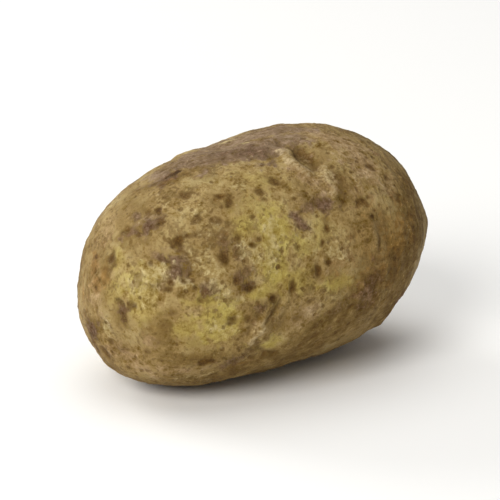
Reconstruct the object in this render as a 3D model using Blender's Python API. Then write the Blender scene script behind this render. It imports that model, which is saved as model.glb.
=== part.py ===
# Potato tuber: one solid that grew as one piece, lying on a small flat spot.
# The long axis runs along X, with the stem end at -X and the rose end, where most eyes are, at +X.
# A place on the skin is given by "along", from -1 at the stem end to 1 at the rose end, and "around",
# in degrees about the long axis: 0 faces +Y, 90 is the top, 180 faces -Y and 270 is the underside.
import math

import bmesh
import bpy
import numpy as np

MM = 0.001  # one millimetre in scene units

# Plain body, in millimetres
LENGTH = 95.5
WIDTH = 63.0
HEIGHT = 58.8
BLUNTNESS = 3.4  # 2 is an ellipsoid, and more has fuller ends
BLUNTNESS_CHANGE = -0.3  # the rose end is rounder than the stem end
WIDTH_TAPER = 0.15  # the rose end is the fat one
TOP_TAPER = 0.02
UNDER_TAPER = 0.05
SIDE_BOW = -0.8  # both ends lean towards -Y
DROOP = -3.6  # both ends hang lower than the middle
REAR_LIFT = 4.2  # the rose end lies higher than the stem end
MIDDLE = 0.3  # the centre line's lean and droop are measured from this share of its bend

# Broad swellings and hollows: along, around, spread as a share of the body, height in millimetres
SWELLINGS = (
    (-0.45, 90, 0.45, -0.7),
    (-0.60, 270, 0.45, -2.0),
    (0.55, 280, 0.45, 1.6),
    (0.00, 240, 0.50, 0.5),
    (0.75, 210, 0.40, -2.7),
    (-0.75, 180, 0.40, -0.6),
    (0.15, 20, 0.30, -1.1),
    (-0.35, 320, 0.28, 1.0),
    (0.45, 350, 0.25, 0.9),
    (-0.05, 76, 0.11, -1.3),
    (0.25, 78, 0.30, -0.3),
    (-0.30, 150, 0.20, 0.5),
    (-0.47, 176, 0.16, -0.5),
    (-0.10, 200, 0.22, 0.6),
    (0.30, 150, 0.18, -0.5),
    (-0.80, 60, 0.22, 0.7),
    (0.70, 60, 0.22, -0.8),
    (-0.10, 10, 0.22, 0.6),
    (-0.60, 20, 0.20, -0.7),
    (0.80, 10, 0.20, 0.6),
)

# Eyes: along, around, turn of the brow in degrees, brow radius, pit depth, ridge height in millimetres
EYES = (
    (0.17, 114, -4, 6.6, 1.7, 0.9),
    (-0.68, 148, 8, 5.6, 0.8, 0.5),
    (-0.26, 188, -12, 6.0, 0.7, 0.5),
    (-0.70, 104, -6, 5.4, 0.6, 0.4),
    (0.42, 160, 6, 6.2, 0.9, 0.5),
    (-0.12, 52, 10, 6.4, 1.4, 0.8),
    (-0.50, 352, -8, 6.2, 1.2, 0.7),
    (0.24, 318, 6, 6.4, 1.3, 0.8),
    (0.40, 28, -10, 6.4, 1.5, 0.9),
    (0.66, 226, 10, 6.0, 1.1, 0.7),
    (0.66, 68, -12, 6.0, 1.2, 0.7),
    (0.80, 316, 8, 5.4, 1.3, 0.7),
    (0.91, 160, 6, 5.0, 1.2, 0.7),
    (0.94, 36, -6, 4.8, 1.3, 0.7),
)
PIT_LENGTH = 0.5  # half-length of the pit along the body, as a share of the brow's radius
PIT_WIDTH = 0.85  # half-width of the pit across the body, as a share of the brow's radius
BROW_CENTRE = 0.35  # how far the middle of the brow's arc lies past the pit, as a share of its radius
BROW_WIDTH = 2.0  # half-width of the brow's ridge
BROW_SPREAD = math.radians(62)  # how far the brow reaches round the pit, each way

# Stem scar: a shallow dimple where the tuber hung on its runner, with the runner's stub in it
SCAR_ALONG = -0.965
SCAR_AROUND = 215
SCAR_RADIUS = 5.5
SCAR_DEPTH = 1.7
STUB_RADIUS = 1.8
STUB_HEIGHT = 0.9

FLAT_DEPTH = 0.4  # how much of the lowest skin is flat, measured up from its lowest point
FACE_CUTS = 27  # cuts along each edge of the cube that the body is drawn out of
REACH = 14.0  # a small feature acts no deeper into the body than this
STEP_ALONG = 0.01  # a short step towards the rose end, to find which way that is on the skin
TINY = 1e-9

SKIN_COLOUR = (0.35, 0.25, 0.11, 1.0)
SKIN_ROUGHNESS = 0.7


def clear_scene():
    for obj in list(bpy.data.objects):
        bpy.data.objects.remove(obj)


def direction_to(along, around):
    # The unit direction that stands for one place on the skin
    ring = math.sqrt(1 - along * along)
    angle = math.radians(around)
    return np.array([[along, ring * math.cos(angle), ring * math.sin(angle)]])


def plain_body(directions):
    # A blunt ellipsoid whose girth, height and centre line change along its length
    along = directions[:, 0]
    ring = np.sqrt(np.maximum(1 - along**2, TINY))
    side = directions[:, 1] / ring
    up = directions[:, 2] / ring
    bluntness = BLUNTNESS + BLUNTNESS_CHANGE * along
    girth = np.sqrt(np.maximum(1 - np.abs(along) ** bluntness, TINY))
    half_width = WIDTH / 2 * girth * (1 + WIDTH_TAPER * along)
    above = HEIGHT / 2 * girth * (1 + TOP_TAPER * along)
    below = HEIGHT / 2 * girth * (1 + UNDER_TAPER * along)
    half_height = (above + below) / 2 + (above - below) / 2 * up
    bow = along**2 - MIDDLE
    return np.stack(
        [
            LENGTH / 2 * along,
            SIDE_BOW * bow + half_width * side,
            DROOP * bow + REAR_LIFT * along + half_height * up,
        ],
        axis=1,
    )


def outward(directions):
    # The skin's outward direction, taken from the ellipsoid of the same three sizes
    normals = directions / np.array([LENGTH, WIDTH, HEIGHT])
    return normals / np.linalg.norm(normals, axis=1, keepdims=True)


def swollen_body(directions):
    points = plain_body(directions)
    normals = outward(directions)
    for along, around, spread, height in SWELLINGS:
        distance = np.linalg.norm(directions - direction_to(along, around), axis=1)
        points += normals * (height * np.exp(-((distance / spread) ** 2) / 2))[:, None]
    return points


def local_map(points, along, around, turn):
    # Millimetres towards the rose end, across the body and out of the skin, from one place on it
    here = direction_to(along, around)
    centre = swollen_body(here)[0]
    normal = outward(here)[0]
    forward = swollen_body(direction_to(min(along + STEP_ALONG, 1.0), around))[0] - centre
    forward -= normal * (forward @ normal)
    forward /= np.linalg.norm(forward)
    across = np.cross(normal, forward)
    angle = math.radians(turn)
    ahead = forward * math.cos(angle) + across * math.sin(angle)
    aside = across * math.cos(angle) - forward * math.sin(angle)
    offset = points - centre
    near = np.exp(-((offset @ normal / REACH) ** 4))
    return offset @ ahead, offset @ aside, near


def eye_relief(points, along, around, turn, radius, depth, ridge):
    # A hollow lying across the body, with a curved brow on its stem-end side
    ahead, aside, near = local_map(points, along, around, turn)
    pit = np.exp(-((ahead / (PIT_LENGTH * radius)) ** 2) - (aside / (PIT_WIDTH * radius)) ** 2)
    past_centre = ahead - BROW_CENTRE * radius
    distance = np.hypot(past_centre, aside)
    bearing = np.arctan2(aside, -past_centre)
    brow = np.exp(-(((distance - radius) / BROW_WIDTH) ** 2) - (bearing / BROW_SPREAD) ** 4)
    return near * (ridge * brow - depth * pit)


def scar_relief(points):
    # A round dimple with a low stub in its middle
    ahead, aside, near = local_map(points, SCAR_ALONG, SCAR_AROUND, 0)
    distance = np.hypot(ahead, aside)
    dimple = np.exp(-((distance / SCAR_RADIUS) ** 2))
    stub = np.exp(-((distance / STUB_RADIUS) ** 4))
    return near * (STUB_HEIGHT * stub - SCAR_DEPTH * dimple)


def tuber_points(directions):
    points = swollen_body(directions)
    relief = scar_relief(points)
    for eye in EYES:
        relief = relief + eye_relief(points, *eye)
    return points + outward(directions) * relief[:, None]


def round_directions(mesh):
    # The cube's points as unit directions, evenly spread over the ball
    corners = np.array([vertex.co for vertex in mesh.verts])
    spread = np.tan(corners * math.pi / 4)
    return spread / np.linalg.norm(spread, axis=1, keepdims=True)


def draw_out_cube(mesh):
    bmesh.ops.create_cube(mesh, size=2)
    bmesh.ops.subdivide_edges(mesh, edges=mesh.edges[:], cuts=FACE_CUTS, use_grid_fill=True)
    points = tuber_points(round_directions(mesh)) * MM
    for vertex, point in zip(mesh.verts, points):
        vertex.co = point


def flatten_underside(mesh):
    # Cuts the lowest skin off level and closes the cut with one flat face
    level = min(vertex.co.z for vertex in mesh.verts) + FLAT_DEPTH * MM
    cut = bmesh.ops.bisect_plane(
        mesh,
        geom=mesh.verts[:] + mesh.edges[:] + mesh.faces[:],
        plane_co=(0, 0, level),
        plane_no=(0, 0, 1),
        clear_inner=True,
    )
    rim = [item for item in cut["geom_cut"] if isinstance(item, bmesh.types.BMEdge)]
    bmesh.ops.edgeloop_fill(mesh, edges=rim)
    for vertex in {vertex for edge in rim for vertex in edge.verts}:
        vertex.co.z = level


def stand_on_origin(mesh):
    # The origin is under the middle of the body, level with the flat spot
    lows = [min(vertex.co[axis] for vertex in mesh.verts) for axis in range(3)]
    highs = [max(vertex.co[axis] for vertex in mesh.verts) for axis in range(3)]
    shift = (-(lows[0] + highs[0]) / 2, -(lows[1] + highs[1]) / 2, -lows[2])
    bmesh.ops.translate(mesh, verts=mesh.verts[:], vec=shift)


def skin_material():
    material = bpy.data.materials.new("potato_skin")
    material.use_nodes = True
    shader = material.node_tree.nodes["Principled BSDF"]
    shader.inputs["Base Color"].default_value = SKIN_COLOUR
    shader.inputs["Roughness"].default_value = SKIN_ROUGHNESS
    shader.inputs["Metallic"].default_value = 0.0
    return material


def make_tuber():
    mesh = bmesh.new()
    draw_out_cube(mesh)
    flatten_underside(mesh)
    stand_on_origin(mesh)
    bmesh.ops.recalc_face_normals(mesh, faces=mesh.faces[:])
    data = bpy.data.meshes.new("tuber")
    mesh.to_mesh(data)
    mesh.free()
    data.shade_smooth()
    data.set_sharp_from_angle(angle=math.radians(50))
    data.materials.append(skin_material())
    tuber = bpy.data.objects.new("tuber", data)
    bpy.context.scene.collection.objects.link(tuber)
    return tuber


def main():
    clear_scene()
    make_tuber()


main()
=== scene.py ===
import math

import bpy
import numpy as np
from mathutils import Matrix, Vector


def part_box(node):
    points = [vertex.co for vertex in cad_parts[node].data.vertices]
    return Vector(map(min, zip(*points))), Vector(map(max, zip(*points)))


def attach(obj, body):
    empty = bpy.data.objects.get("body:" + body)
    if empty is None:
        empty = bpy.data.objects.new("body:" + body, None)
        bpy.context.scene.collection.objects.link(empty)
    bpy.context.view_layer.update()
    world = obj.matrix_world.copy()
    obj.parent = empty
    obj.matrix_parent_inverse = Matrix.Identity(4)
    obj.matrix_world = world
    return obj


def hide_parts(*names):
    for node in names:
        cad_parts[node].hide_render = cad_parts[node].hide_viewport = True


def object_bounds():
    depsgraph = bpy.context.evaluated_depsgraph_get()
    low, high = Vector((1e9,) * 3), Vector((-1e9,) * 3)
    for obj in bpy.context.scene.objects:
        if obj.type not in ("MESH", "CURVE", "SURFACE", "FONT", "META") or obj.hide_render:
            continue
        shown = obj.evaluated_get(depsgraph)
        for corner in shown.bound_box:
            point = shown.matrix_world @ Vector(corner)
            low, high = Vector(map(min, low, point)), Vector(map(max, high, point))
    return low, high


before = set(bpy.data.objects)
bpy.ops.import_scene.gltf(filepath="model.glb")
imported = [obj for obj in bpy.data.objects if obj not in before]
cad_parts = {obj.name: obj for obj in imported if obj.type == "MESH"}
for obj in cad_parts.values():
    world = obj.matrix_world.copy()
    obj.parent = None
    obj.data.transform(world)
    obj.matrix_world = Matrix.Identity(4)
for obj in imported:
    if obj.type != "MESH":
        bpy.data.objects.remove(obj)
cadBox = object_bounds()

# One raw potato with dried soil on its skin, on a pale board under soft light.
# Sizes in the dictionaries are millimetres, and meshes are metres.
# A place on the skin is "along", from -1 at the stem end to 1 at the rose end, and "around", in degrees
# about the long axis: 0 faces +Y, 90 is the top, 180 faces -Y and 270 is the underside.
# A mark that the photograph shows is placed by its pixel there, in a frame of 500 by 500.
mm = 0.001
tiny = 1e-9
farAway = 1e9

view = {
    "azimuth": -35,  # degrees round the tuber, where 0 looks along +Y
    "elevation": 20,
    "distance": 620,  # from the tuber's middle to the lens
    "frameWidth": 127,  # what the frame spans at the tuber
    "photoScale": 0.485,  # one pixel of the photograph at the tuber
    "photoMiddle": (177.3, 185.7),  # the pixel that shows the tuber's middle
    "sensorWidth": 36,
    "seenOver": 0.03,  # skin is seen where the cosine of its slant to the lens is over this
    "unseenUnder": 0.05,  # and gets marks by chance where it is under this
}


def lookingFrom(azimuth, elevation):
    # Unit directions to the lens, from its turn about the upright and its rise over level, to the picture's
    # right, which is level, and to its top, the cross product of the two
    turn, rise = math.radians(azimuth), math.radians(elevation)
    back = np.array([math.sin(turn) * math.cos(rise), -math.cos(turn) * math.cos(rise), math.sin(rise)])
    right = np.array([math.cos(turn), math.sin(turn), 0.0])
    return back, right, np.cross(back, right)


back, right, upward = lookingFrom(view["azimuth"], view["elevation"])
middle = np.array((cadBox[0] + cadBox[1]) / 2) / mm

camera = bpy.data.objects.new("camera", bpy.data.cameras.new("camera"))
bpy.context.scene.collection.objects.link(camera)
bpy.context.scene.camera = camera
camera.data.sensor_width = view["sensorWidth"]
camera.data.lens = view["sensorWidth"] * view["distance"] / view["frameWidth"]
camera.location = Vector((middle + back * view["distance"]) * mm)
camera.rotation_mode = "QUATERNION"
camera.rotation_quaternion = Vector(-back).to_track_quat("-Z", "Y")
camera.data.dof.use_dof = False
print("camera set")


# The tuber's form, with the same values as the solid that it replaces
tuber = {
    "length": 95.5,
    "width": 63.0,
    "height": 58.8,
    "bluntness": 3.4,  # 2 is an ellipsoid, and more has fuller ends
    "bluntnessChange": -0.3,
    "widthTaper": 0.15,  # the rose end is the fat one
    "topTaper": 0.02,
    "underTaper": 0.05,
    "sideBow": -0.8,  # both ends lean towards -Y
    "droop": -3.6,  # both ends hang lower than the middle
    "rearLift": 4.2,  # the rose end lies higher than the stem end
    "middle": 0.3,  # share of its bend that the centre line is moved back by
    "flatDepth": 0.4,  # how high the lowest skin is cut flat
    "restFade": 1.5,  # height over it in which the fine relief comes in
    "hair": (0.02, 0.02, 0.0),  # how far the skin's box lies inside the solid's
    "reach": 14.0,  # a small feature acts no deeper into the body than this
    "stepAlong": 0.01,  # a short step, to find the way to the rose end
    "gridCells": 126,  # cells along each side of the six grids
    # Broad swellings and hollows: along, around, spread as a share of the body, height
    "swellings": (
        (-0.45, 90, 0.45, -0.7),
        (-0.60, 270, 0.45, -2.0),
        (0.55, 280, 0.45, 1.6),
        (0.00, 240, 0.50, 0.5),
        (0.75, 210, 0.40, -2.7),
        (-0.75, 180, 0.40, -0.6),
        (0.15, 20, 0.30, -1.1),
        (-0.35, 320, 0.28, 1.0),
        (0.45, 350, 0.25, 0.9),
        (-0.05, 76, 0.11, -1.3),
        (0.25, 78, 0.30, -0.3),
        (-0.30, 150, 0.20, 0.5),
        (-0.47, 176, 0.16, -0.5),
        (-0.10, 200, 0.22, 0.6),
        (0.30, 150, 0.18, -0.5),
        (-0.80, 60, 0.22, 0.7),
        (0.70, 60, 0.22, -0.8),
        (-0.10, 10, 0.22, 0.6),
        (-0.60, 20, 0.20, -0.7),
        (0.80, 10, 0.20, 0.6),
    ),
    # Eyes: along, around, turn of the brow in degrees, brow radius, pit depth, ridge height
    "eyes": (
        (0.17, 114, -4, 6.6, 1.7, 0.9),
        (-0.68, 148, 8, 5.6, 0.8, 0.5),
        (-0.26, 188, -12, 6.0, 0.7, 0.5),
        (-0.70, 104, -6, 5.4, 0.6, 0.4),
        (0.42, 160, 6, 6.2, 0.9, 0.5),
        (-0.12, 52, 10, 6.4, 1.4, 0.8),
        (-0.50, 352, -8, 6.2, 1.2, 0.7),
        (0.24, 318, 6, 6.4, 1.3, 0.8),
        (0.40, 28, -10, 6.4, 1.5, 0.9),
        (0.66, 226, 10, 6.0, 1.1, 0.7),
        (0.66, 68, -12, 6.0, 1.2, 0.7),
        (0.80, 316, 8, 5.4, 1.3, 0.7),
        (0.91, 160, 6, 5.0, 1.2, 0.7),
        (0.94, 36, -6, 4.8, 1.3, 0.7),
    ),
    "pitLength": 0.5,  # shares of the brow's radius
    "pitWidth": 0.85,
    "browCentre": 0.35,
    "browWidth": 2.0,
    "browSpread": math.radians(62),  # how far the brow reaches round the pit, each way
    "lidPlace": 0.74,  # the scale leaf's scar, a thin crease, in shares of the brow's radius
    "lidWidth": 0.7,
    "lidFade": 1.5,  # power by which it fades in a shallower eye
    "fullPit": 1.7,  # the pit's depth at which the parts show in full
    "buds": ((-1.7, 0.8), (0.2, 1.1), (1.9, 0.7)),  # where each lies across the pit, and its size
    "budAhead": 0.4,
    "budLength": 0.95,
    "budWidth": 0.9,
    "scar": (-0.965, 215),  # where the tuber hung on its runner
    "scarRadius": 5.5,
    "scarDepth": 1.7,
    "stubRadius": 1.8,
    "stubHeight": 0.9,
    "ringTurns": 3.6,  # radians of the scar's rings in a millimetre
    "ringWander": 0.7,
    "ringLobes": 3,
}


def cubeOfGrids(cells):
    # Six square grids folded into a cube: each holds one coordinate at 0 or cells while the other two count
    # from 0 to cells, and points that fall together become one. Gives the corners, and faces of four
    steps = np.arange(cells + 1)
    first, second = np.meshgrid(steps, steps, indexing="ij")
    low, high = np.zeros_like(first), np.full_like(first, cells)
    sheets = ((high, first, second), (low, second, first), (second, high, first),
              (first, low, second), (first, second, high), (second, first, low))
    corners = np.stack([np.stack(sheet, axis=-1).reshape(-1, 3) for sheet in sheets]).reshape(-1, 3)
    index = np.arange((cells + 1) ** 2).reshape(cells + 1, cells + 1)
    quads = np.stack([index[:-1, :-1], index[1:, :-1], index[1:, 1:], index[:-1, 1:]], axis=-1)
    faces = np.concatenate([quads.reshape(-1, 4) + number * index.size for number in range(len(sheets))])
    shared, place = np.unique(corners, axis=0, return_inverse=True)
    return shared, place.reshape(-1)[faces]


def roundDirections(corners, cells):
    # Each coordinate, from -1 to 1, becomes the tangent of its share of 45 degrees, which evens out the
    # grids, and each point is scaled to a length of one
    spread = np.tan((2 * corners / cells - 1) * math.pi / 4)
    return spread / np.linalg.norm(spread, axis=1, keepdims=True)


def directionTo(along, around):
    # A unit direction: along lies on the long axis, and around turns on a ring whose radius is the root of 1
    # minus the square of along
    ring = math.sqrt(1 - along * along)
    angle = math.radians(around)
    return np.array([[along, ring * math.cos(angle), ring * math.sin(angle)]])


def plainBody(directions):
    # A blunt ellipsoid: its girth is the root of 1 minus along to a power, times a taper that is linear in
    # along, about a centre line that bends with the square of along
    along = directions[:, 0]
    ring = np.sqrt(np.maximum(1 - along**2, tiny))
    side = directions[:, 1] / ring
    up = directions[:, 2] / ring
    bluntness = tuber["bluntness"] + tuber["bluntnessChange"] * along
    girth = np.sqrt(np.maximum(1 - np.abs(along) ** bluntness, tiny))
    halfWidth = tuber["width"] / 2 * girth * (1 + tuber["widthTaper"] * along)
    above = tuber["height"] / 2 * girth * (1 + tuber["topTaper"] * along)
    below = tuber["height"] / 2 * girth * (1 + tuber["underTaper"] * along)
    halfHeight = (above + below) / 2 + (above - below) / 2 * up
    bow = along**2 - tuber["middle"]
    x = tuber["length"] / 2 * along
    y = tuber["sideBow"] * bow + halfWidth * side
    z = tuber["droop"] * bow + tuber["rearLift"] * along + halfHeight * up
    return np.stack([x, y, z], axis=1)


def outward(directions):
    # The ellipsoid's normal: the direction over the three sizes, scaled to a length of one
    normals = directions / np.array([tuber["length"], tuber["width"], tuber["height"]])
    return normals / np.linalg.norm(normals, axis=1, keepdims=True)


def swollenBody(directions):
    # The plain body, pushed out along its normal by each swelling: height times e to minus half the square
    # of the distance over the spread
    points = plainBody(directions)
    normals = outward(directions)
    for along, around, spread, height in tuber["swellings"]:
        distance = np.linalg.norm(directions - directionTo(along, around), axis=1)
        points += normals * (height * np.exp(-((distance / spread) ** 2) / 2))[:, None]
    return points


def localMap(points, along, around, turn):
    # A flat map laid on the skin at one place: ahead is the way to the rose end without its part along the
    # normal, then turned, and aside is square to it. Both in millimetres, and a fade with depth that is e to
    # minus the fourth power of depth over reach
    here = directionTo(along, around)
    centre = swollenBody(here)[0]
    normal = outward(here)[0]
    forward = swollenBody(directionTo(min(along + tuber["stepAlong"], 1.0), around))[0] - centre
    forward -= normal * (forward @ normal)
    forward /= np.linalg.norm(forward)
    across = np.cross(normal, forward)
    angle = math.radians(turn)
    ahead = forward * math.cos(angle) + across * math.sin(angle)
    aside = across * math.cos(angle) - forward * math.sin(angle)
    offset = points - centre
    near = np.exp(-((offset @ normal / tuber["reach"]) ** 4))
    return offset @ ahead, offset @ aside, near


def eyeForms(points, along, around, turn, radius, depth, ridge):
    # The pit is e to minus the squares of the shares ahead and aside. The brow is a bell of the distance
    # from an arc on its stem-end side, the lid a thinner one on a smaller arc, and the buds small bells
    ahead, aside, near = localMap(points, along, around, turn)
    lengthwise = ahead / (tuber["pitLength"] * radius)
    widthwise = aside / (tuber["pitWidth"] * radius)
    pit = np.exp(-(lengthwise**2) - widthwise**2)
    pastCentre = ahead - tuber["browCentre"] * radius
    distance = np.hypot(pastCentre, aside)
    bearing = np.arctan2(aside, -pastCentre)
    sweep = np.exp(-((bearing / tuber["browSpread"]) ** 4))
    brow = sweep * np.exp(-(((distance - radius) / tuber["browWidth"]) ** 2))
    lid = sweep * np.exp(-(((distance - tuber["lidPlace"] * radius) / tuber["lidWidth"]) ** 2))
    buds = np.zeros(len(points))
    lengthwise = (ahead - tuber["budAhead"]) / tuber["budLength"]
    for offset, size in tuber["buds"]:
        widthwise = (aside - offset) / tuber["budWidth"]
        buds += size * np.exp(-(lengthwise**2) - widthwise**2)
    return near * (ridge * brow - depth * pit), near * pit, near * brow, near * lid, near * buds


def scarForms(points):
    # The dimple is e to minus the square of the distance over its radius, the stub the same with the fourth
    # power, and the rings are the sine of the distance, which wanders in lobes, and fade with the dimple
    ahead, aside, near = localMap(points, *tuber["scar"], 0)
    distance = np.hypot(ahead, aside)
    dimple = np.exp(-((distance / tuber["scarRadius"]) ** 2))
    stub = np.exp(-((distance / tuber["stubRadius"]) ** 4))
    wander = tuber["ringWander"] * np.sin(tuber["ringLobes"] * np.arctan2(aside, ahead))
    rings = np.sin(distance * tuber["ringTurns"] + wander) * dimple
    return near * (tuber["stubHeight"] * stub - tuber["scarDepth"] * dimple), near * dimple, near * rings


waves = {
    "count": 28,
    "shortest": 0.7,  # shares of the length that is asked for
    "longest": 1.4,
}


def planeWaves(points, length, seed):
    # The sum of sine waves of about one length in random directions, over the root of half their number,
    # which gives it a spread of one
    rng = np.random.default_rng(seed)
    count = waves["count"]
    ways = rng.normal(size=(count, 3))
    ways /= np.linalg.norm(ways, axis=1, keepdims=True)
    turns = 2 * math.pi / (length * rng.uniform(waves["shortest"], waves["longest"], count))
    phases = rng.uniform(0, 2 * math.pi, count)
    return np.sin(points @ (ways * turns[:, None]).T + phases).sum(axis=1) * math.sqrt(2 / count)


# How each cube of space gets its random draws, which are always the same ones
cellDraws = {
    "axisFactors": (73856093, 19349663, 83492791),  # large primes, so that neighbours differ
    "seedFactor": 7919,
    "mix": (15, 2246822519, 374761393, 0xFFFFFFFF),  # shift, factor, step, bits kept
    "draw": (13, 0xFFFFFF),  # shift, bits that make a share
    "count": 4,  # three for the point's place and one of its own
}


def cellSpots(points, spacing, seed):
    # One random point in each cube of space, its place drawn by mixing the cube's whole-number coordinates:
    # the distance to the nearest such point, and that point's own draw
    mixShift, factor, addend, bits = cellDraws["mix"]
    drawShift, full = cellDraws["draw"]
    cell = np.floor(points / spacing).astype(np.int64)
    nearest = np.full(len(points), farAway)
    share = np.zeros(len(points))
    for step in np.ndindex(3, 3, 3):
        beside = cell + np.array(step) - 1
        mixed = (beside @ np.array(cellDraws["axisFactors"]) + seed * cellDraws["seedFactor"]) & bits
        draws = []
        for _ in range(cellDraws["count"]):
            mixed = ((mixed ^ (mixed >> mixShift)) * factor + addend) & bits
            draws.append(((mixed ^ (mixed >> drawShift)) & full) / full)
        spot = (beside + np.stack(draws[:3], axis=1)) * spacing
        distance = np.linalg.norm(points - spot, axis=1)
        closer = distance < nearest
        nearest = np.where(closer, distance, nearest)
        share = np.where(closer, draws[3], share)
    return nearest, share


def vertexNormals(points, faces):
    # The cross product of each face's diagonals, added up at its corners and scaled to a length of one
    firstDiagonals = points[faces[:, 2]] - points[faces[:, 0]]
    secondDiagonals = points[faces[:, 3]] - points[faces[:, 1]]
    slopes = np.cross(firstDiagonals, secondDiagonals)
    normals = np.zeros_like(points)
    for corner in range(faces.shape[1]):
        np.add.at(normals, faces[:, corner], slopes)
    return normals / np.maximum(np.linalg.norm(normals, axis=1, keepdims=True), tiny)


def smoothStep(values, low, high):
    # The share from low to high, eased: three times its square less twice its cube
    share = np.clip((values - low) / (high - low), 0, 1)
    return share * share * (3 - 2 * share)


def fitToSolid(points):
    # Stretches each axis evenly, so that the form's box lies on the solid's box, a hair inside it
    boxLow, boxHigh = (np.array(corner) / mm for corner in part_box("tuber"))
    low, high = points.min(axis=0), points.max(axis=0)
    hair = np.array(tuber["hair"])
    return boxLow + hair + (points - low) * (boxHigh - boxLow - 2 * hair) / (high - low)


corners, faces = cubeOfGrids(tuber["gridCells"])
directions = roundDirections(corners, tuber["gridCells"])
bare = swollenBody(directions)
relief, scarDimple, scarRings = scarForms(bare)
pits, brows, lids, buds = (np.zeros(len(bare)) for _ in range(4))
for eye in tuber["eyes"]:
    form, pit, brow, lid, bud = eyeForms(bare, *eye)
    weight = eye[4] / tuber["fullPit"]  # by the depth of its pit
    relief += form
    pits += pit * weight
    brows += brow * weight
    lids += lid * weight ** tuber["lidFade"]
    buds += bud * weight
formed = bare + outward(directions) * relief[:, None]
level = formed[:, 2].min() + tuber["flatDepth"]
under = smoothStep(level + tuber["restFade"] - formed[:, 2], 0, tuber["restFade"])  # 1 on the flat spot
formed[:, 2] = np.maximum(formed[:, 2], level)
formed = fitToSolid(formed)
normals = vertexNormals(formed, faces)
print("tuber formed:", len(formed), "points")

# Where each point of the skin falls in the photograph, and how squarely it is seen
fromLens = formed - (middle + back * view["distance"])
depth = -(fromLens @ back)
photoX = view["photoMiddle"][0] + fromLens @ right / depth * view["distance"] / view["photoScale"]
photoY = view["photoMiddle"][1] - fromLens @ upward / depth * view["distance"] / view["photoScale"]
facing = -(normals * fromLens).sum(axis=1) / np.linalg.norm(fromLens, axis=1)


def skinUnder(x, y):
    # The seen point of the skin that falls nearest to a pixel: the one with the least sum of squares
    return np.argmin((photoX - x) ** 2 + (photoY - y) ** 2 + np.where(facing > view["seenOver"], 0, farAway))


def risingWaves(height, length, seed):
    # Height times waves of one length over the whole skin
    return height * planeWaves(formed, length, seed)


patchEdge = {
    # Two waves that move a patch's edge: share of its size, length, seed
    "wave": (0.18, 4.5, 11),
    "fineWave": (0.16, 1.9, 12),
    "least": 0.3,  # so that no wave spreads a patch too far
    "power": 3,  # 2 is a bell, and more has a flatter top
    "inward": 3.0,  # a patch reaches at least this far into the body
}
wobble = risingWaves(*patchEdge["wave"])
fineWobble = risingWaves(*patchEdge["fineWave"])


def patchAt(index, halfLength, halfWidth, strength=1.0, turn=0):
    # Strength times a flat-topped bell over an ellipse on the skin: e to minus the cube of the distance, in
    # shares of the ellipse, times 1 plus waves that make its edge uneven
    normal = normals[index]
    level = right - normal * (normal @ right)
    level /= np.linalg.norm(level)
    rise = np.cross(normal, level)
    angle = math.radians(turn)
    offset = formed - formed[index]
    lengthwise = offset @ (level * math.cos(angle) + rise * math.sin(angle)) / halfLength
    widthwise = offset @ (rise * math.cos(angle) - level * math.sin(angle)) / halfWidth
    inward = offset @ normal / max(halfLength, halfWidth, patchEdge["inward"])
    distance = np.sqrt(lengthwise**2 + widthwise**2 + inward**2)
    uneven = np.maximum(1 + wobble + fineWobble, patchEdge["least"])
    return strength * np.exp(-((distance * uneven) ** patchEdge["power"]))


def strokeAlong(pixels, halfWidth):
    # e to minus the square of the distance from a chain of skin points, over the half-width
    chain = formed[[skinUnder(*pixel) for pixel in pixels]]
    nearest = np.full(len(formed), farAway)
    for start, end in zip(chain[:-1], chain[1:]):
        run = end - start
        share = np.clip((formed - start) @ run / (run @ run), 0, 1)
        nearest = np.minimum(nearest, np.linalg.norm(formed - start - share[:, None] * run, axis=1))
    return np.exp(-((nearest / halfWidth) ** 2))


# Marks seen in the photograph: pixel x, pixel y, half-length, half-width, then strength where it isn't 1,
# and turn in degrees where it isn't 0
marks = {}
marks["scurf"] = (  # mauve-brown scabby cork
    (216.5, 161.5, 4.2, 1.9, 1, 6), (209.5, 163, 2, 1.8, 0.8), (202, 168.5, 2.8, 1.6, 1, -50),
    (206, 173, 2.8, 1.7, 1, -20), (124, 173.5, 3, 1.7, 1, 22), (118, 168, 1.8, 2.2, 0.8),
    (116, 176.5, 2.6, 1.1, 0.8), (137, 191, 2.6, 1.6, 0.8, -10), (139, 198, 2, 2.8, 1, -10),
    (131, 191, 3.4, 1.3, 0.9, -25), (144, 195, 1.6, 3.4, 0.7), (164, 184, 1.8, 4.6, 0.65, 6),
    (171, 186, 2, 3.6, 0.5, 15), (171, 201, 2.2, 2.4, 0.85), (177, 197, 2.6, 2, 0.6),
    (175, 205, 3.2, 1.6, 0.9, 10), (155, 207, 2.2, 2), (177, 134, 4.6, 4.6, 0.85, 4),
    (163, 135, 5, 2.4, 0.6, 14), (187, 137, 3, 2.2, 0.6), (134, 148, 3.8, 1.9, 0.9, 30),
    (110, 218, 1.6, 2.8, 0.9, -10), (95, 228, 2.6, 3.6, 1, -20), (240, 206, 3.4, 6, 0.75, -20),
    (169, 244, 5, 2, 0.8, 8), (224, 216, 6, 2.4, 0.4, 25), (184, 216, 2, 1.6, 0.7),
    (104, 226, 1.6, 1.4, 0.5), (130, 205, 2.6, 1.6, 0.6),
)
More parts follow.
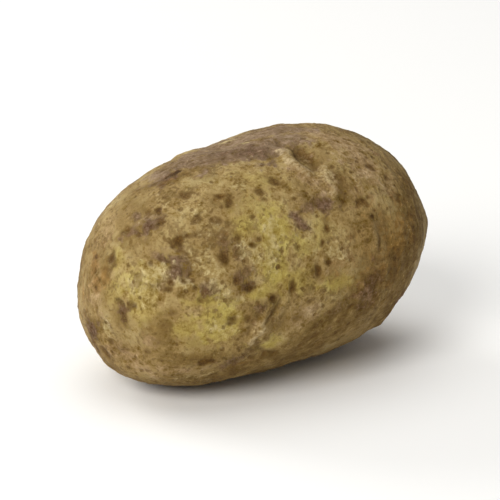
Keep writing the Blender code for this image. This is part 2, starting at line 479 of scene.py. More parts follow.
marks["dark"] = (  # olive-brown blots where soil stuck in the skin's pores
    (105, 190, 2, 1.9), (109.5, 213.5, 1.4, 1.2, 0.8), (114.8, 214.5, 1.4, 1.4, 0.8),
    (111, 221, 1.2, 2, 0.65), (139, 181, 1.9, 1.8), (129.4, 165, 1.3, 1.1), (149.3, 169, 1.5, 1.2, 0.9),
    (161.7, 158, 1.9, 1.5), (166.3, 159.4, 1.3, 1.9, 0.9), (143, 157, 2.4, 1.5, 0.8),
    (190.8, 149.8, 2.2, 1.9, 0.9), (182.6, 155.4, 1.8, 1.5, 0.9), (185, 159, 1, 0.9, 0.8),
    (179, 168.6, 0.9, 0.9, 0.9), (182, 180, 1, 0.9, 0.9), (178.4, 183.6, 0.9, 0.8, 0.8, 20),
    (194.3, 181, 0.7, 1.1, 0.6), (194, 186, 0.7, 1.2, 0.75), (202, 185, 1, 0.9, 0.7),
    (192.4, 194.2, 0.7, 0.7, 0.6), (164, 190, 2, 2.6, 0.9), (163, 179, 1.4, 2, 0.5),
    (200, 206.5, 1.2, 2.3, 1, -12), (213.4, 197, 1, 2), (218.6, 192.5, 1.3, 1.1), (215.4, 182, 0.9, 1),
    (218, 174.7, 0.9, 1.3), (217.5, 171, 1.4, 1.6, 0.6), (189.5, 211.5, 1.7, 1.2, 1, 20),
    (242, 168, 1.1, 1.2), (237, 160, 1.4, 1.6, 0.9), (239, 163, 1, 1, 0.8), (255.6, 159, 0.8, 1.2, 0.8),
    (240, 141.8, 1.4, 1.1, 0.9), (249.3, 147.4, 0.9, 1.6, 0.8), (251.4, 197, 1, 2, 0.8),
    (154, 244, 1.9, 1.3), (134, 226, 2.4, 2.8, 0.6), (136, 219, 2.8, 1.4, 0.6), (125, 228, 1.6, 1.4, 0.6),
    (138, 146, 3, 0.9, 1, 30), (227, 156, 1.8, 4.2, 0.45), (103, 197, 1.6, 2.4, 0.7),
    (146, 199, 1, 0.8, 0.8), (135, 207, 1.7, 1.2, 0.9), (125, 205, 1.4, 0.8, 0.6, 20),
    (170, 202, 1.4, 1.8, 0.9), (177, 206.5, 2, 1.2, 1, 20), (233, 178, 0.8, 2, 0.6),
    (246, 182, 0.8, 2.6, 0.8), (220, 180, 1, 0.9, 0.6), (211, 231, 2, 1, 0.7, 20), (120, 249, 1.6, 0.9, 0.6),
    (97, 218, 0.9, 1.8, 0.6), (101, 239, 2.2, 1.2, 0.8, -30), (208.5, 213, 0.9, 0.8, 0.8),
    (168.5, 222, 1.8, 1.4, 0.9), (221, 212, 1.2, 1, 0.7), (231, 214.5, 1.1, 1, 0.9),
    (106, 204, 1.6, 0.9, 0.6, 10), (151, 212, 1.3, 1.3, 0.8), (124, 166, 1.3, 1.1, 0.7),
    (160, 170, 2.2, 1.4, 0.7), (166, 172, 1.2, 1.4, 0.7), (147, 178, 2.6, 1.2, 0.7),
    (171, 179, 1.1, 1.1, 0.8), (204, 194, 0.9, 0.8, 0.7), (176, 222, 1.2, 1.8, 0.8), (104, 234, 1.2, 1, 0.8),
    (113, 238, 1.2, 0.9, 0.7), (124, 239, 1.4, 1.4, 0.6), (202, 222.5, 1.6, 1.3, 0.6),
    (130, 172, 1.4, 1, 0.9, 30), (113, 175.5, 1, 1.3, 0.9), (119, 177.5, 1.4, 0.8, 0.8, 20),
    (115, 182, 0.9, 1.4, 0.6), (125, 192.5, 0.9, 0.8, 0.8), (141, 186, 1.4, 0.7, 0.7),
    (144.5, 187.5, 0.8, 0.8, 0.8), (158, 184, 1.2, 1.4, 0.6), (158, 170, 1.2, 0.9, 0.8),
    (162, 171, 0.9, 1, 0.8), (142, 202, 1, 0.8, 0.9), (136, 203, 1, 1.2, 0.9), (133, 207, 1.4, 0.8, 0.8, 10),
    (118, 199, 1, 1, 0.7), (151, 199, 0.9, 0.7, 0.7),
)
marks["yellow"] = (  # clean greenish-yellow skin
    (190, 176, 4.4, 6.6), (190, 194, 4, 7), (181, 164, 6.5, 4.6, 0.4), (162, 224, 6.4, 6, 1, 10),
    (155, 212, 5, 3, 0.8), (119, 204, 6.6, 4, 0.8), (203, 202, 5, 4, 0.7), (223, 203, 5.4, 2.4, 0.8),
    (180, 150, 9, 3.6, 0.4, 2), (105, 209, 3.4, 4, 0.45), (175, 173, 3.4, 4, 0.7),
    (150, 234, 6, 2.2, 0.4, 6), (143, 227, 4, 3.4, 0.7), (188, 235, 3.4, 2.6, 0.9), (121, 215, 5, 5, 0.6),
    (183, 208, 4.4, 2.2, 0.8, 20), (205, 183, 3.4, 3, 0.6), (108, 190, 2.4, 4, 0.5), (215, 178, 3, 5, 0.4),
    (190, 165, 4, 3, 0.5), (192, 183, 3.2, 6),
)
marks["pale"] = (  # worn or dusty places, and painted highlights along the top-left rim and on some lit patches of skin
    (128, 195.5, 4.2, 2, 1, 8), (131, 198.5, 3, 1.6, 0.8, -20), (119, 204, 5, 3, 0.9), (180, 189, 3.2, 2.8),
    # Painted reflection: the thin marks at 165, 129, 104, 162 and 175, 130 lighten the top-left rim
    (175, 182, 2.2, 2, 0.6), (141, 203, 2.4, 2, 0.8), (165, 129, 3.6, 0.9, 0.7, 18),
    (104, 162, 4.6, 1.5, 0.8, 52), (102, 228, 1.6, 2, 0.9), (175, 130, 1, 0.7), (160, 197, 4, 1.6, 0.6),
    (173, 211, 1.6, 1.8, 0.7), (150, 252, 10, 1.4, 0.4, 4), (183, 205, 1.2, 3, 0.3), (153, 176, 1.6, 3, 0.5),
    (187, 190, 1.4, 2.4, 0.7), (190, 174, 2.4, 4, 0.4), (193, 186, 2.4, 5, 0.4), (220, 186, 3.6, 2.2, 0.4),
    (170, 151, 4, 1.6, 0.5, 8), (132, 163, 2.4, 2.6, 0.4), (181, 229, 1.6, 2.6, 0.5, -20),
    (171, 220, 2.4, 1, 0.6), (190, 181, 3, 6, 0.85), (126, 205, 4, 2.6, 0.6), (155, 193, 3.6, 4, 0.7),
    (150, 166, 3.4, 2.4, 0.6), (162, 207, 3, 3, 0.7), (222, 187, 3.6, 2.2, 0.7), (157, 174, 3, 2.4, 0.6),
    (147, 187, 2.6, 2.6, 0.6), (130, 163, 2.4, 2.4, 0.4), (216.5, 147, 1.9, 2.1, 0.8), (163, 227, 4, 3, 0.6),
    (188, 190, 1.8, 1.6), (122, 213, 3.4, 3, 0.6), (189.5, 187, 1.6, 5, 0.8),
)
marks["rust"] = (  # orange-brown stains
    (95, 194, 2.2, 4.4, 1, -6), (101, 199, 2, 3.4, 0.9), (97, 203, 2.4, 2.6, 0.9), (103.5, 229, 1.1, 1),
    (90, 207, 1.4, 4, 0.7), (134, 150, 3, 1.6, 0.8, 20), (253, 180, 6, 10, 0.6), (238, 206, 3, 4.4, 0.6),
    (230, 192, 4, 3, 0.6), (262, 172, 2, 6, 0.5), (170, 246, 3, 1.2, 0.7, 8), (240, 172, 3, 8, 0.5),
    (226, 195, 6, 6, 0.5), (243, 198, 6, 8, 0.6), (236, 182, 6, 6, 0.5), (214, 161, 3.6, 2.6, 0.4),
    (181, 157, 3, 3, 0.4),
)
marks["cork"] = (  # smooth mauve-brown cork
    (186, 130, 6, 7, 0.9, 8), (176, 133, 6, 7, 1, 10), (165, 135, 6, 6, 0.9, 14), (154, 138, 7, 5, 0.9, 18),
    (143, 141, 5, 5, 0.9, 26), (133, 148, 4, 3.4, 0.9, 34), (178, 126, 8, 7, 1, 10), (163, 131, 8, 6, 1, 14),
    (191, 123, 7, 6, 0.9, 4), (148, 136, 7, 5, 0.9, 22), (131, 145, 5, 4, 0.8, 30), (205, 122, 6, 4, 0.5),
    (197, 127, 6, 5, 0.7), (124, 172, 5, 3, 0.5, 24), (213, 160, 5, 3, 0.5, 8), (139, 195, 4, 5, 0.5, -20),
)
marks["bloom"] = (  # smooth pinkish-tan dust
    (222, 128, 10, 4.4, 1, -24), (236, 140, 8, 5, 0.8, -40), (203, 126, 9, 2.4, 0.2),
    (207, 147, 5.4, 2.2, 1, -38), (217, 147, 1.9, 2.4, 1, -10), (221.5, 154, 1.5, 3), (213, 155, 3, 3, 0.5),
    (160, 133, 8, 2, 0.6, 16), (96, 210, 2.6, 10, 0.6, 4), (102, 176, 3, 6, 0.4, -30),
    (115, 243, 8, 3.4, 0.75, -22), (104, 238, 3, 2.4, 0.8), (140, 249, 9, 2, 0.6),
    (182, 226, 2, 3.6, 0.5, -25), (150, 217, 2.4, 1.2, 0.7), (205, 220, 7, 4, 0.6, 20),
    (233, 152, 4, 6, 0.5, -20), (126, 234, 3, 3, 0.5), (250, 152, 4, 6, 0.4, -30), (224, 190, 5, 4, 0.5),
    (141, 190, 3, 3, 0.5), (217, 197, 1.4, 1.4, 0.6),
)
marks["filmAndPaintedShade"] = (  # the brown bloom of dried soil, and painted shade that darkens the right rim and the underside
    (200, 134, 5, 2, 0.9, -20), (208, 140, 5.6, 1.8, 0.6, -40), (226, 153, 3, 6, 0.7),
    # Painted shade: the long patches at 215, 228 and 180, 245 darken the underside along the bottom edge
    (246, 165, 7, 12, 0.15), (240, 207, 6, 7, 0.9), (215, 228, 16, 6, 1, 20), (180, 245, 14, 4, 1, 8),
    (168, 137, 13, 3.4, 0.8, 12), (117, 177, 7, 5, 0.7, 10), (165, 184, 4, 6, 0.25),
    (172, 202, 5, 4.4, 0.35), (138, 196, 5, 5, 0.4), (184, 218, 5, 6, 0.7, 30), (92, 206, 1.8, 7, 0.5),
    (163, 160, 4, 3, 0.4), (109, 220, 4, 4.4, 0.7), (130, 231, 5, 5, 0.7), (205, 149, 2.6, 4, 0.6),
    (196, 222, 6, 4, 0.7, 20), (255, 195, 4, 9, 0.7), (145, 145, 9, 2.6, 0.8, 22), (120, 164, 5, 4, 0.6, 30),
    (100, 188, 3, 5, 0.5), (152, 242, 8, 2.4, 0.6), (237, 148, 5, 3, 0.5, -30), (217, 197, 4, 4, 0.4),
    (234, 165, 5, 6, 0.2), (154, 207, 3, 3, 0.2), (95, 227, 3, 5, 0.8, -20), (224, 207, 4, 2.4, 0.5, 20),
    # Painted shade: the long patch at 218, 232 darkens the underside
    (218, 232, 16, 4, 1, 20), (155, 147, 3.4, 1.8, 0.4, 16), (147, 234, 3, 3, 0.4),
    (200, 132, 5, 3.6, 0.5, -20), (235, 150, 3.4, 3, 0.4), (118, 158, 6, 4, 0.4, 40), (110, 170, 4, 6, 0.4),
    # Painted shade: the patch at 262, 158 and the three after it darken the right rim
    (103, 212, 3.6, 4.6, 0.4), (222, 199, 3, 3, 0.35), (238, 192, 3, 3.6, 0.5), (262, 158, 4, 8, 0.8),
    (265, 174, 4, 8, 0.9), (262, 191, 4, 8), (255, 207, 4, 6),
)

# Creases and ridges in the skin: chain of pixels, half-width, height. Creases hold soil and painted shade,
# and ridges are rubbed clean and painted lighter as a painted highlight
strokes = (
    (((193, 130), (198, 131.5), (203, 134.5), (208, 139), (213, 143.5)), 1.4, -0.6),
    (((193, 133.5), (196.5, 137.5), (202, 141.5), (207.5, 146)), 1.4, 0.4),
    (((216, 144), (217, 147.5)), 1.8, 0.8),
    (((221, 151), (221.7, 154), (221.5, 158)), 1.2, 0.4),
    (((220, 144), (224.5, 149), (226.5, 155), (227, 161)), 1.3, -0.25),
    (((193.5, 212), (191, 217), (187.5, 222), (186, 224)), 0.75, -0.5),
    (((196, 213), (193.5, 218), (190, 223)), 0.8, 0.25),
    (((185, 216), (179.5, 223.5), (177, 230)), 0.9, -0.45),
    (((184, 223), (181.5, 229), (178, 234)), 1.2, 0.5),
    (((181, 232), (182, 236.5), (185, 239.5), (190, 240)), 0.8, -0.45),
    (((203, 196), (207, 199.5), (211, 203)), 0.6, -0.2),
    (((173, 206), (171.5, 209), (171.5, 212)), 0.8, -0.3),
    (((213.5, 192.5), (212.8, 197), (214.5, 200.5)), 0.8, -0.3),
    (((217, 195), (217, 198)), 1.0, 0.3),
    (((130, 190.5), (134, 191.5), (138, 194.5)), 0.8, -0.45),
    (((110, 215), (111, 219), (112, 224)), 0.9, -0.15),
    (((150, 141), (162, 138), (174, 137)), 0.7, -0.2),
)

# The sides that the photograph doesn't show get the same kinds of mark, strewn by chance:
# how many, least and most half-length, and strength
strewn = {
    "scurf": (44, 1.4, 5.0, 0.95),
    "dark": (150, 0.8, 2.3, 0.95),
    "yellow": (26, 3.0, 7.5, 0.9),
    "pale": (30, 1.2, 4.5, 0.8),
    "rust": (14, 1.0, 4.0, 0.8),
    "cork": (16, 3.0, 10.0, 0.8),
    "bloom": (22, 2.0, 9.0, 0.8),
    "filmAndPaintedShade": (36, 3.5, 12.0, 0.85),
}
chance = {
    "seed": 17,
    "smallness": 1.6,  # a higher power of the draw makes more of them small
    "slimness": (0.45, 1.0),  # half-width as a share of half-length
    "strength": (0.6, 1.1),  # share of the kind's own strength
}


def layMarks(kind, rng):
    # The strongest patch of one kind at each point, of those marked and those strewn
    field = np.zeros(len(formed))
    for x, y, *shape in marks[kind]:
        field = np.maximum(field, patchAt(skinUnder(x, y), *shape))
    count, least, most, strength = strewn[kind]
    unseen = np.flatnonzero(facing < view["unseenUnder"])
    for index in rng.choice(unseen, count):
        halfLength = least + (most - least) * rng.random() ** chance["smallness"]
        halfWidth = halfLength * rng.uniform(*chance["slimness"])
        share = strength * rng.uniform(*chance["strength"])
        field = np.maximum(field, patchAt(index, halfLength, halfWidth, share, rng.uniform(0, 180)))
    return np.clip(field, 0, 1)


# What each field is the sum of, by weight
mixes = {
    # The film's underside weight is painted shade under the tuber, besides soil
    "filmAndPaintedShade": {"everywhere": 0.12, "filmAndPaintedShade": 0.80, "broad": 0.05, "patchy": 0.05, "roseEnd": 0.15,
             "underside": 0.25, "pits": 0.15, "brows": -0.25, "yellow": -0.30, "bloom": -0.20},
    # Soil in the eyes, lids and scar, darkened further as painted shade in these hollows
    "hollow": {"pits": 0.6, "lids": 0.8, "scarDimple": 0.6},
    # Rubbed brows and buds, painted lighter as a painted highlight on the ridges
    "proud": {"brows": 0.55, "buds": 0.6},
    "broadWaves": (26, 21),  # length, seed
    "patchyWaves": (9, 22),
    "roseEnd": (0.25, 0.9),  # where along it starts and is full
    "underside": (0.1, 0.9),  # and by how much the skin faces down, where the film adds painted shade to the underside
    "brushed": (0.1, 0.75),  # streaks round the rose end
    "brushedUneven": 0.08,
}


def mixField(title, parts):
    # Each part times its weight, added up and kept from 0 to 1
    return np.clip(sum(weight * parts[name] for name, weight in mixes[title].items()), 0, 1)


rng = np.random.default_rng(chance["seed"])
fields = {kind: layMarks(kind, rng) for kind in marks}
along = directions[:, 0]
broad = planeWaves(formed, *mixes["broadWaves"])
parts = dict(fields, everywhere=1.0, broad=broad, patchy=planeWaves(formed, *mixes["patchyWaves"]),
             roseEnd=smoothStep(along, *mixes["roseEnd"]), pits=pits, brows=brows, lids=lids, buds=buds,
             underside=smoothStep(-normals[:, 2], *mixes["underside"]), scarDimple=scarDimple)
for title in ("filmAndPaintedShade", "hollow", "proud"):
    fields[title] = mixField(title, parts)
fields["brushed"] = smoothStep(along + mixes["brushedUneven"] * broad, *mixes["brushed"])
print("marks laid")

# Fine relief, in millimetres: what the skin does between the eyes
skin = {
    # Waves: height, length, seed
    "swell": (0.10, 15, 33),  # gentle unevenness that a finger can feel
    "ripple": (0.06, 5, 34),
    "grain": (0.03, 1.7, 35),
    "scab": (0.10, 1.4, 36),  # scurf's cracks, really about 0.7 mm apart, drawn coarser to show
    "hollowGrain": (0.10, 1.8, 37),
    "crustEdge": (0.12, 3.2, 31),  # these two move the edge of the soil's crust
    "crustFineEdge": (0.06, 1.3, 32),
    "scabDrop": 0.8,  # how far it is sunk, as a share of its own height
    "crustHeight": 0.10,
    "crustRange": (0.42, 0.62),  # the film's cover where its crust starts and is full
    "darkDepth": 0.18,
    "lidDepth": 0.30,
    "budHeight": 0.42,
    "ringHeight": 0.14,
    # Pores, which are raised rims round a hole
    "poreSpacing": 4.2,
    "poreSeed": 5,
    "poreRadius": 0.75,
    "poreLeast": 0.6,  # the least share of it, and how much more the draw adds
    "poreSwing": 0.7,
    "poreSkipped": 0.35,  # share of the places that have none
    "poreHeight": 0.14,
    "holeRadius": 0.45,  # shares of the rim's radius and height
    "holeDepth": 1.6,
    "strokeShare": 0.35,  # how hollow or proud a stroke is, besides its height
}

poreDistance, poreShare = cellSpots(formed, skin["poreSpacing"], skin["poreSeed"])
poreRadius = skin["poreRadius"] * (skin["poreLeast"] + skin["poreSwing"] * poreShare)
poreKept = poreShare > skin["poreSkipped"]
poreRim = np.exp(-((poreDistance / poreRadius) ** 2)) * poreKept
poreHole = np.exp(-((poreDistance / (skin["holeRadius"] * poreRadius)) ** 2)) * poreKept
crustCover = fields["filmAndPaintedShade"] + risingWaves(*skin["crustEdge"]) + risingWaves(*skin["crustFineEdge"])
scabDepth = skin["scabDrop"] * skin["scab"][0]
fine = (
    risingWaves(*skin["swell"]) + risingWaves(*skin["ripple"]) + risingWaves(*skin["grain"])
    + skin["crustHeight"] * smoothStep(crustCover, *skin["crustRange"])
    + skin["poreHeight"] * (poreRim - skin["holeDepth"] * poreHole)
    + fields["scurf"] * (risingWaves(*skin["scab"]) - scabDepth)
    - skin["darkDepth"] * fields["dark"]
    - skin["lidDepth"] * lids + skin["budHeight"] * buds
    + skin["ringHeight"] * scarRings
    + fields["hollow"] * risingWaves(*skin["hollowGrain"])
)
for pixels, halfWidth, height in strokes:
    stroke = strokeAlong(pixels, halfWidth)
    fine += height * stroke
    side = "hollow" if height < 0 else "proud"
    fields[side] = np.maximum(fields[side], stroke * min(1.0, skin["strokeShare"] + abs(height)))
fine *= 1 - under
surface = fitToSolid(formed + normals * fine[:, None])
print("skin raised")


def makeMesh(name, points, quads, attributes):
    # Points in millimetres become metres. Each face has four corners, and each attribute one value a point
    mesh = bpy.data.meshes.new(name)
    mesh.vertices.add(len(points))
    mesh.vertices.foreach_set("co", (points * mm).astype(np.float32).ravel())
    mesh.loops.add(quads.size)
    mesh.loops.foreach_set("vertex_index", quads.astype(np.int32).ravel())
    mesh.polygons.add(len(quads))
    mesh.polygons.foreach_set("loop_start", np.arange(0, quads.size, quads.shape[1], dtype=np.int32))
    mesh.update(calc_edges=True)
    mesh.validate()
    mesh.shade_smooth()
    for title, values in attributes.items():
        layer = mesh.attributes.new(title, "FLOAT", "POINT")
        layer.data.foreach_set("value", values.astype(np.float32))
    piece = bpy.data.objects.new(name, mesh)
    bpy.context.scene.collection.objects.link(piece)
    return piece


potato = makeMesh("potatoTuber", surface, faces, fields)
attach(potato, "root")
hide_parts("tuber")
print("tuber made")


def linear(hexColour):
    # The standard curve from sRGB hex to linear light: a dark channel is divided by 12.92, and a lighter one
    # plus 0.055, over 1.055, is raised to the power 2.4. Alpha is one
    channels = [int(hexColour[place:place + 2], 16) / 255 for place in (1, 3, 5)]
    return tuple(c / 12.92 if c <= 0.04045 else ((c + 0.055) / 1.055) ** 2.4 for c in channels) + (1.0,)


# Raw potato skin: thin matt cork over yellow flesh, grown in soil and dug, so it is mottled with a dried
# brown film, dotted with dark pores and scabbed in places. Nothing on it shines. Its colour also holds
# painted shade on the underside, the right rim and in creases, and painted highlights on ridges and the
# top-left rim
potatoSkin = bpy.data.materials.new("rawPotatoSkinWithDriedSoil")
potatoSkin.use_nodes = True
skinTree = potatoSkin.node_tree
skinTree.nodes.clear()
sources = {}  # every field, pattern and coat of the skin, by name


def addNode(kind, settings=None, links=None, ramp=None):
    # Adds a shader node, then sets its properties and sockets, its links and its colour ramp
    made = skinTree.nodes.new("ShaderNode" + kind)
    for title, value in (settings or {}).items():
        if isinstance(title, int) or title in made.inputs:
            made.inputs[title].default_value = value
        else:
            setattr(made, title, value)
    for title, source in (links or {}).items():
        skinTree.links.new(source, made.inputs[title])
    if ramp:
        stops = made.color_ramp.elements
        while len(stops) < len(ramp):
            stops.new(0.5)  # and placed below
        for stop, (place, colour) in zip(stops, ramp):
            stop.position = place
            stop.color = linear(colour)
    return made


# What the skin is coloured with. Colours run from shade to light, and sizes are in millimetres
skinLook = {
    # Patterns: size of the largest parts, detail, roughness, and which push moves it about
    "patterns": {
        "cloudy": (10, 5, 0.60, "far"),  # where soil dried slower or faster
        "crowded": (8, 4, 0.60, "far"),  # where pores lie close together
        "dusty": (6, 4, 0.60, "none"),  # where dry dust settled
        "mottled": (4.0, 6, 0.62, "far"),  # smears of soil, 2 to 4 mm
        "shaded": (2.8, 6, 0.66, "far"),  # thick and thin places in one coat
        "flecked": (1.6, 5, 0.64, "near"),  # crumbs and their stains, 1 to 2 mm
        "speckled": (1.1, 3, 0.55, "near"),  # soil caught in a pore, about 1 mm
        # Cork cracks into flakes of about 0.3 mm, and grains of soil are 0.05 to 0.2 mm. Neither would show
        # in the render, so these three are drawn two to four times as coarse
        "corky": (0.9, 5, 0.70, "none"),
        "scabby": (0.7, 5, 0.80, "none"),
        "grainy": (0.6, 4, 0.66, "none"),
    },
    "pushes": {"none": 0, "near": 0.9, "far": 2.6},
    "pushSize": 2.2,
    "streakWidth": 1.0,  # scratches of grit are about 0.3 mm wide, drawn coarser to show
    "streakLength": 7.0,
    "streakDetail": 5,  # of the pushes as well
    "streakRoughness": 0.65,
    "poreSpacing": 2.0,
    "poreReach": 0.36,  # share of the spacing that the largest pore covers
    "poreFewness": 3.0,  # a higher power of the draw leaves fewer large pores
    "dustSpacing": 1.25,  # clumps of dust, as its own specks are too fine to show
    "dustReach": 0.30,
    "dustRange": (0.48, 0.70),  # where the dusty pattern starts and is full
    "shadeRange": (0.32, 0.70),  # where a pattern reaches a coat's first and last colours
    "bareSkin": ("#866e40", "#987e4d", "#a48c59", "#b5a06e"),
    "bareTone": (("cloudy", 1.0), ("mottled", 0.5)),
    # Coats in the order they go on: name, what its cover is the sum of, where the cover starts and is full,
    # how much it hides at most, the field that limits it, the pattern that shades it, and its colours
    "coats": (
        ("cleanYellow", ("yellow", ("cloudy", 0.8), ("mottled", 1.2), ("flecked", 0.5)), 0.0, 1.0, 0.9,
         None, "shaded", ("#9c8740", "#af9b4d", "#bfae60")),
        # The film coat holds dried soil, and painted shade on the underside and the right rim
        ("soilFilmAndPaintedShade", ("filmAndPaintedShade", ("cloudy", 0.9), ("mottled", 1.7), ("flecked", 1.5), ("grainy", 0.7)),
         0.05, 0.85, 0.92, None, "shaded", ("#5d431d", "#705628", "#7e6535", "#8d7546")),
        ("streaks", ("streaky",), 0.44, 0.66, 0.65, "brushed", "flecked", ("#52381b", "#604525")),
        ("dustBloom", ("bloom", ("cloudy", 0.6), ("mottled", 1.0), ("flecked", 1.0)), 0.15, 0.95, 0.85,
         None, "shaded", ("#8a6f4a", "#9f835b", "#af946d")),
        ("smoothCork", ("cork", ("cloudy", 0.5), ("mottled", 0.9), ("flecked", 0.7)), 0.10, 0.80, 0.85,
         None, "shaded", ("#755d45", "#836b52", "#927b61")),
        ("rustStain", ("rust", ("flecked", 1.4), ("mottled", 0.8)), 0.15, 1.0, 0.65,
         None, "flecked", ("#785320", "#8e682c")),
        ("scurfCork", ("scurf", ("mottled", 1.0), ("flecked", 2.6), ("grainy", 1.6)), 0.15, 0.75, 1.0,
         "scurf", "corky", ("#543b26", "#6a4e36", "#7b6047", "#927a60")),
        # Pale skin and dust, and painted highlights on the top-left rim and on some lit patches
        ("paleSkinAndPaintedHighlight", ("pale", ("flecked", 1.8), ("grainy", 0.8)), 0.20, 1.00, 0.80,
         None, "flecked", ("#a8935b", "#c0ac78")),
        ("poreDots", ("pores", ("grainy", 0.6)), -0.05, 0.09, 0.65, None, "grainy", ("#4e310a", "#64471a")),
        ("soilFlecks", ("speckled", ("crowded", 1.2), ("mottled", 0.4)), 0.56, 0.73, 0.50,
         None, "grainy", ("#4e310a", "#64471a")),
        ("soilBlots", ("dark", ("flecked", 2.4), ("grainy", 2.0)), 0.10, 0.62, 1.0,
         "dark", "grainy", ("#4b2f09", "#604518")),
        ("dustSpecks", ("dust", ("grainy", 0.3)), -0.06, 0.10, 0.28,
         None, "flecked", ("#a48f58", "#bca875")),
        # Soil in hollows and creases, and painted shade there
        ("hollowSoilAndPaintedShade", ("hollow", ("mottled", 1.0), ("flecked", 0.8)), 0.15, 1.05, 0.65,
         None, "flecked", ("#523819", "#654a24")),
        # Rubbed skin on ridges, and a painted highlight there
        ("rubbedSkinAndPaintedHighlight", ("proud", ("mottled", 0.8), ("flecked", 1.2), ("grainy", 0.6)), 0.20, 1.00, 0.70,
         None, "flecked", ("#a18a5e", "#b39c70")),
    ),
    # Grime makes the whole skin lighter and darker, least where it is clean and most in blue, so what is
    # darker is browner too
    "grime": (("cloudy", 0.4), ("mottled", 1.5), ("flecked", 1.6), ("grainy", 1.1)),
    "grimeSwing": (1.12, 1.32, 1.95),
    "grimeOnClean": 0.5,  # how much less of it lies on clean yellow skin
    # What stands proud in the fine bump, and by what share of its depth
    "relief": (("flecked", 0.80), ("grainy", 0.45), ("soilFilmAndPaintedShade", 0.18), ("scabs", 0.80), ("poreDots", -0.35),
               ("soilFlecks", -0.35), ("soilBlots", -0.35), ("dustSpecks", 0.30)),
    "reliefDepth": 0.5,
    "reliefStrength": 0.9,
    # A dry cork skin is matt, and more so under soil. Its faint sheen is loose fibre and dust
    "roughness": (0.62, 0.86),  # on clean skin and under a full film of soil
    "ior": 1.45,
    "specular": 0.15,
    "sheen": 0.05,
    "sheenRoughness": 0.5,
    "sheenTint": "#b9b2a2",
}


def halfWeight(parts):
    # What a sum of patterns comes to at its middle, as each swings about a half
    return sum(weight for _, weight in parts) / 2


def addSum(parts, start=0.0):
    # Start plus each source times its weight
    (name, weight), *others = parts
    total = addNode("Math", {"operation": "MULTIPLY_ADD", 1: weight, 2: start},
                    {0: sources[name]}).outputs[0]
    for name, weight in others:
        total = addNode("Math", {"operation": "MULTIPLY_ADD", 1: weight},
                        {0: sources[name], 2: total}).outputs[0]
    return total


def addCover(parts, low, high, most, limit):
    # The first part plus the others by weight, eased in from low to high, which are both raised by what the
    # others come to at their middle
    first, *others = parts
    total = addSum(((first, 1.0), *others))
    lift = halfWeight(others)
    cover = addNode("MapRange", {
        "interpolation_type": "SMOOTHSTEP", "From Min": low + lift, "From Max": high + lift, "To Max": most,
    }, {"Value": total}).outputs["Result"]
    if limit is None:
        return cover
    return addNode("Math", {"operation": "MULTIPLY"}, {0: cover, 1: sources[limit]}).outputs[0]


def evenStops(colours):
    # Colours at even steps from the low end to the high end of what a pattern reaches
    low, high = skinLook["shadeRange"]
    return [(low + (high - low) * n / (len(colours) - 1), colour) for n, colour in enumerate(colours)]


def addCoat(under, cover, pattern, colours):
    # Mixes a coat over what is under it, by its cover. Its own colours follow a pattern
    own = addNode("ValToRGB", None, {"Fac": pattern}, evenStops(colours)).outputs["Color"]
    return addNode("Mix", {"data_type": "RGBA"}, {0: cover, 6: under, 7: own}).outputs[2]


def addSpots(place, spacing, reach, fewness):
    # Reach less the distance to the nearest of points strewn a spacing apart, above 0 inside a spot.
    # Each spot's reach is multiplied by its own random draw to the power of fewness
    points = addNode("TexVoronoi", {"Scale": 1 / (spacing * mm)}, {"Vector": place})
    draw = addNode("SeparateColor", None, {0: points.outputs["Color"]}).outputs[0]
    size = addNode("Math", {"operation": "POWER", 1: fewness}, {0: draw}).outputs[0]
    room = addNode("Math", {"operation": "MULTIPLY", 1: reach}, {0: size}).outputs[0]
    return addNode("Math", {"operation": "SUBTRACT"},
                   {0: room, 1: points.outputs["Distance"]}).outputs[0]


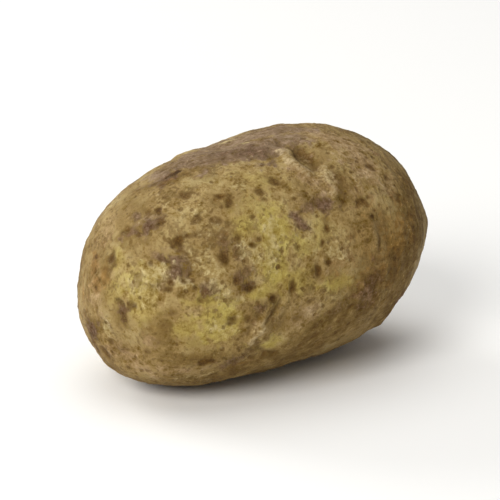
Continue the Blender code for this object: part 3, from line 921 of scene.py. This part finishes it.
def colourPotatoSkin():
    # Fields, then patterns and spots, then bare skin under its coats, grime over all, and the fine bump
    look = skinLook
    where = addNode("TexCoord").outputs["Object"]
    for title in fields:
        sources[title] = addNode("Attribute", {"attribute_name": title}).outputs["Fac"]

    # Coordinates pushed about by a fine pattern, so that no edge runs clean
    pushes = addNode("TexNoise", {
        "Scale": 1 / (look["pushSize"] * mm), "Detail": look["streakDetail"],
        "Roughness": look["streakRoughness"],
    }, {"Vector": where}).outputs["Color"]
    centred = addNode("VectorMath", {"operation": "SUBTRACT", 1: (0.5,) * 3}, {0: pushes})
    places = {}
    for title, far in look["pushes"].items():
        pushed = addNode("VectorMath", {"operation": "MULTIPLY_ADD", 1: (far * mm,) * 3},
                         {0: centred.outputs[0], 2: where})
        places[title] = pushed.outputs[0] if far else where
    for title, (size, detail, roughness, push) in look["patterns"].items():
        sources[title] = addNode("TexNoise", {
            "Scale": 1 / (size * mm), "Detail": detail, "Roughness": roughness,
        }, {"Vector": places[push]}).outputs["Fac"]

    # Brushed streaks run round the rose end
    stretch = look["streakWidth"] / look["streakLength"]
    streakPlace = addNode("Mapping", {"Scale": (1.0, stretch, stretch)}, {"Vector": places["far"]})
    sources["streaky"] = addNode("TexNoise", {
        "Scale": 1 / (look["streakWidth"] * mm), "Detail": look["streakDetail"],
        "Roughness": look["streakRoughness"],
    }, {"Vector": streakPlace.outputs[0]}).outputs["Fac"]
    sources["pores"] = addSpots(places["near"], look["poreSpacing"], look["poreReach"], look["poreFewness"])

    # Specks of dry dust lie thick in places
    low, high = look["dustRange"]
    specks = addNode("TexVoronoi", {"Scale": 1 / (look["dustSpacing"] * mm)},
                     {"Vector": places["near"]})
    thick = addNode("MapRange", {
        "interpolation_type": "SMOOTHSTEP", "From Min": low, "From Max": high, "To Max": look["dustReach"],
    }, {"Value": sources["dusty"]}).outputs["Result"]
    sources["dust"] = addNode("Math", {"operation": "SUBTRACT"},
                              {0: thick, 1: specks.outputs["Distance"]}).outputs[0]

    # Bare skin first, and then the coats, each of which later ones may build on
    bareTone = addSum(look["bareTone"], 0.5 - halfWeight(look["bareTone"]))
    colour = addNode("ValToRGB", None, {"Fac": bareTone}, evenStops(look["bareSkin"])).outputs[0]
    for title, parts, low, high, most, limit, pattern, colours in look["coats"]:
        sources[title] = addCover(parts, low, high, most, limit)
        colour = addCoat(colour, sources[title], sources[pattern], colours)

    # Grime multiplies the colour by 1 plus its swing times a sum that is 0 at its middle
    grime = addSum(look["grime"], -halfWeight(look["grime"]))
    kept = addNode("Math", {"operation": "MULTIPLY_ADD", 1: -look["grimeOnClean"], 2: 1.0},
                   {0: sources["cleanYellow"]}).outputs[0]
    grime = addNode("Math", {"operation": "MULTIPLY"}, {0: grime, 1: kept}).outputs[0]
    tone = addNode("VectorMath", {
        "operation": "MULTIPLY_ADD", 1: look["grimeSwing"], 2: (1.0,) * 3,
    }, {0: grime}).outputs[0]
    toned = addNode("VectorMath", {"operation": "MULTIPLY"}, {0: colour, 1: tone}).outputs[0]

    clean, soiled = look["roughness"]
    rough = addNode("MapRange", {"To Min": clean, "To Max": soiled}, {"Value": sources["soilFilmAndPaintedShade"]})
    sources["scabs"] = addNode("Math", {"operation": "MULTIPLY"},
                               {0: sources["scurfCork"], 1: sources["scabby"]}).outputs[0]
    height = addSum(look["relief"])
    bump = addNode("Bump", {
        "Strength": look["reliefStrength"], "Distance": look["reliefDepth"] * mm,
    }, {"Height": height})

    shader = addNode("BsdfPrincipled", {
        "Metallic": 0.0, "IOR": look["ior"], "Specular IOR Level": look["specular"],
        "Sheen Weight": look["sheen"], "Sheen Roughness": look["sheenRoughness"],
        "Sheen Tint": linear(look["sheenTint"]),
    }, {"Base Color": toned, "Roughness": rough.outputs["Result"], "Normal": bump.outputs["Normal"]})
    addNode("OutputMaterial", None, {"Surface": shader.outputs["BSDF"]})


colourPotatoSkin()
potato.data.materials.append(potatoSkin)
print("skin coloured")

studio = {
    "boardColour": "#fbfaf7",
    "boardSize": 6.0,  # metres
    "boardRoughness": 0.9,
    "boardSpecular": 0.1,
    "airColour": "#ffffff",
    "ambient": 0.28,
    # Lamps: name, metres to the right, up and towards the lens from the tuber, size in metres, watts
    "lamps": (
        ("keyLamp", -0.60, 0.85, 0.95, 0.8, 13),
        ("topLamp", -0.10, 1.8, -0.3, 2.0, 14),
        ("rimLamp", -1.00, 0.60, -0.80, 0.8, 8),
    ),
}


def makeStudio():
    # A pale board and large soft lamps, the brightest up and to the left
    half = studio["boardSize"] / 2
    mesh = bpy.data.meshes.new("board")
    corners = [(-half, -half, 0), (half, -half, 0), (half, half, 0), (-half, half, 0)]
    mesh.from_pydata(corners, [], [(0, 1, 2, 3)])
    board = bpy.data.objects.new("board", mesh)
    bpy.context.scene.collection.objects.link(board)
    material = bpy.data.materials.new("mattPaintedBoard")
    material.use_nodes = True
    paint = material.node_tree.nodes["Principled BSDF"]
    paint.inputs["Base Color"].default_value = linear(studio["boardColour"])
    paint.inputs["Roughness"].default_value = studio["boardRoughness"]
    paint.inputs["Specular IOR Level"].default_value = studio["boardSpecular"]
    mesh.materials.append(material)
    world = bpy.data.worlds.new("studioAir")
    world.use_nodes = True
    air = world.node_tree.nodes["Background"]
    air.inputs["Color"].default_value = linear(studio["airColour"])
    air.inputs["Strength"].default_value = studio["ambient"]
    bpy.context.scene.world = world
    flatBack = np.array([back[0], back[1], 0.0])  # towards the lens along the board
    flatBack /= np.linalg.norm(flatBack)
    for name, toRight, up, towards, size, watts in studio["lamps"]:
        lamp = bpy.data.lights.new(name, "AREA")
        lamp.shape = "DISK"
        lamp.size = size
        lamp.energy = watts
        holder = bpy.data.objects.new(name, lamp)
        place = Vector(right * toRight + np.array([0, 0, up]) + flatBack * towards)
        holder.location = place
        holder.rotation_mode = "QUATERNION"
        holder.rotation_quaternion = (Vector(middle * mm) - place).to_track_quat("-Z", "Y")
        bpy.context.scene.collection.objects.link(holder)


makeStudio()
bpy.context.scene.view_settings.view_transform = "Standard"
bpy.context.scene.view_settings.look = "None"
print("studio lit")
